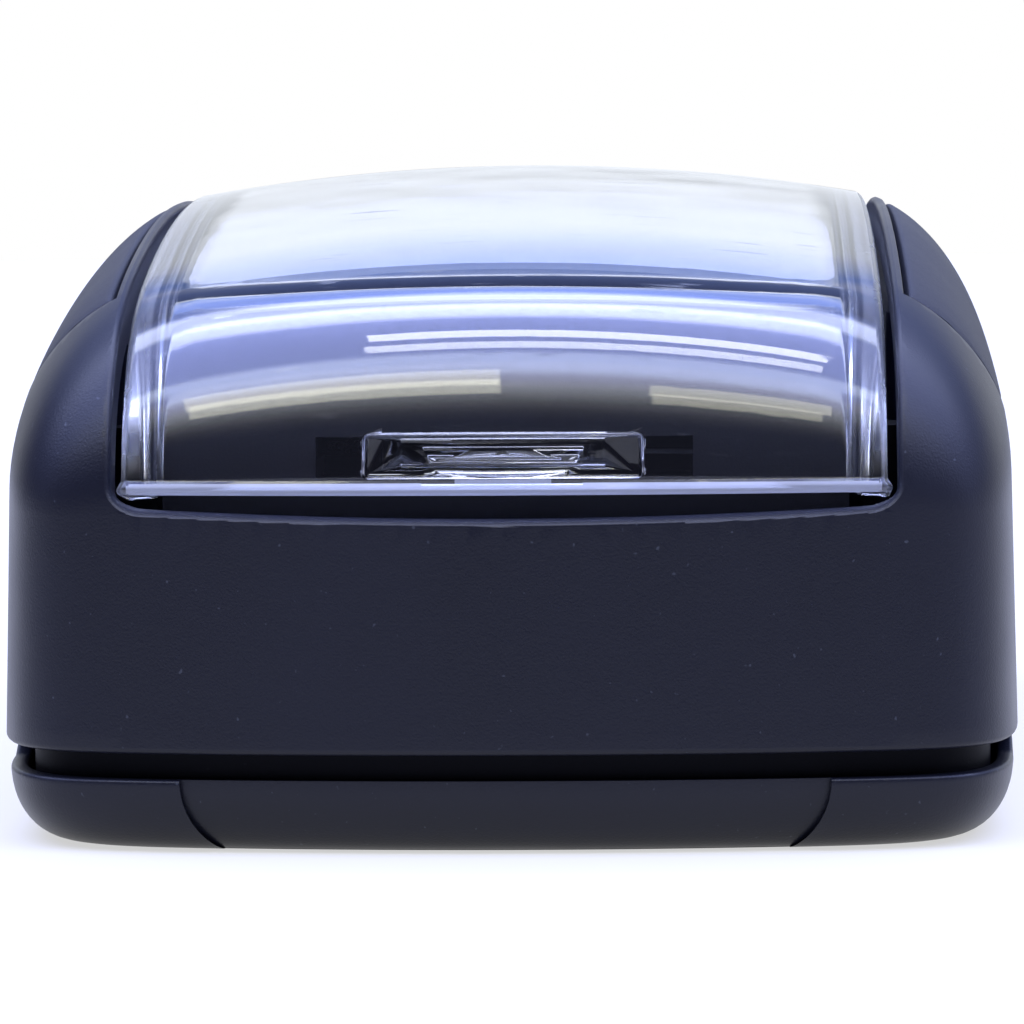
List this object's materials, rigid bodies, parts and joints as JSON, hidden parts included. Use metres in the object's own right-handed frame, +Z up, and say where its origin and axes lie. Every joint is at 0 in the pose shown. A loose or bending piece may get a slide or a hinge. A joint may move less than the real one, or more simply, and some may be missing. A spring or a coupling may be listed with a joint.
{
  "type": "pre-inked hand stamp",
  "caption": "Slim hand stamp with a domed clear index window, side grips, a sprung base frame around an ink-fed rubber die, and a pull-off dust cap.",
  "frame": {"origin": "centre of the dust cap's flat underside, which is also the bottom centre of the bounding box", "axes": "+Z up from the dust cap to the index window, +Y along the length away from the end with the window's latch, +X across the width"},
  "size_m": [0.048, 0.095, 0.0307],
  "materials": {
    "satin_black_abs": "satin black ABS with a fine moulded grain",
    "grip_black": "soft black rubber with a fine texture",
    "clear_styrene": "clear moulded polystyrene, polished",
    "index_card_stock": "matt white card",
    "plug_rubber": "matt black rubber",
    "inked_foam": "ink-soaked foam",
    "die_rubber": "microporous red-brown rubber",
    "liner_foam": "grey closed-cell foam",
    "zinc_steel": "bright zinc-plated steel"
  },
  "bodies": {
    "housing": {"housing_shell": "satin_black_abs", "left_side_grip": "grip_black", "right_side_grip": "grip_black", "index_card": "index_card_stock", "label_tray": "satin_black_abs", "ink_port_plug_front": "plug_rubber", "ink_port_plug_rear": "plug_rubber", "die_carrier": "satin_black_abs", "ink_reservoir_pad": "inked_foam", "stamp_die": "die_rubber", "die_clamp_frame": "satin_black_abs", "return_spring_front_left": "zinc_steel", "return_spring_front_right": "zinc_steel", "return_spring_rear_left": "zinc_steel", "return_spring_rear_right": "zinc_steel", "housing_screw_front_left": "zinc_steel", "housing_screw_front_right": "zinc_steel", "housing_screw_rear_left": "zinc_steel", "housing_screw_rear_right": "zinc_steel", "carrier_screw_front_left": "zinc_steel", "carrier_screw_front_right": "zinc_steel", "carrier_screw_rear_left": "zinc_steel", "carrier_screw_rear_right": "zinc_steel"},
    "window": {"index_window": "clear_styrene"},
    "frame": {"base_frame": "satin_black_abs", "guide_pin_front_left": "zinc_steel", "guide_pin_front_right": "zinc_steel", "guide_pin_rear_left": "zinc_steel", "guide_pin_rear_right": "zinc_steel", "retaining_clip_front_left": "zinc_steel", "retaining_clip_front_right": "zinc_steel", "retaining_clip_rear_left": "zinc_steel", "retaining_clip_rear_right": "zinc_steel"},
    "cap": {"dust_cap": "satin_black_abs", "cap_liner": "liner_foam"}
  },
  "joints": [
    {"name": "press_slide", "type": "slide", "parent": "housing", "child": "frame", "axis": [0, 0, 1], "range_m": [0, 0.0024], "stiffness_N_per_m": 1200, "springref_m": -0.003, "deforming": ["return_spring_front_left", "return_spring_front_right", "return_spring_rear_left", "return_spring_rear_right"]},
    {"name": "window_hinge", "type": "hinge", "parent": "housing", "child": "window", "pos_m": [0, 0.04685, 0.01715], "axis": [-1, 0, 0], "range_deg": [0, 75]},
    {"name": "cap_slide", "type": "slide", "parent": "housing", "child": "cap", "axis": [0, 0, -1], "range_m": [0, 0.014]}
  ]
}
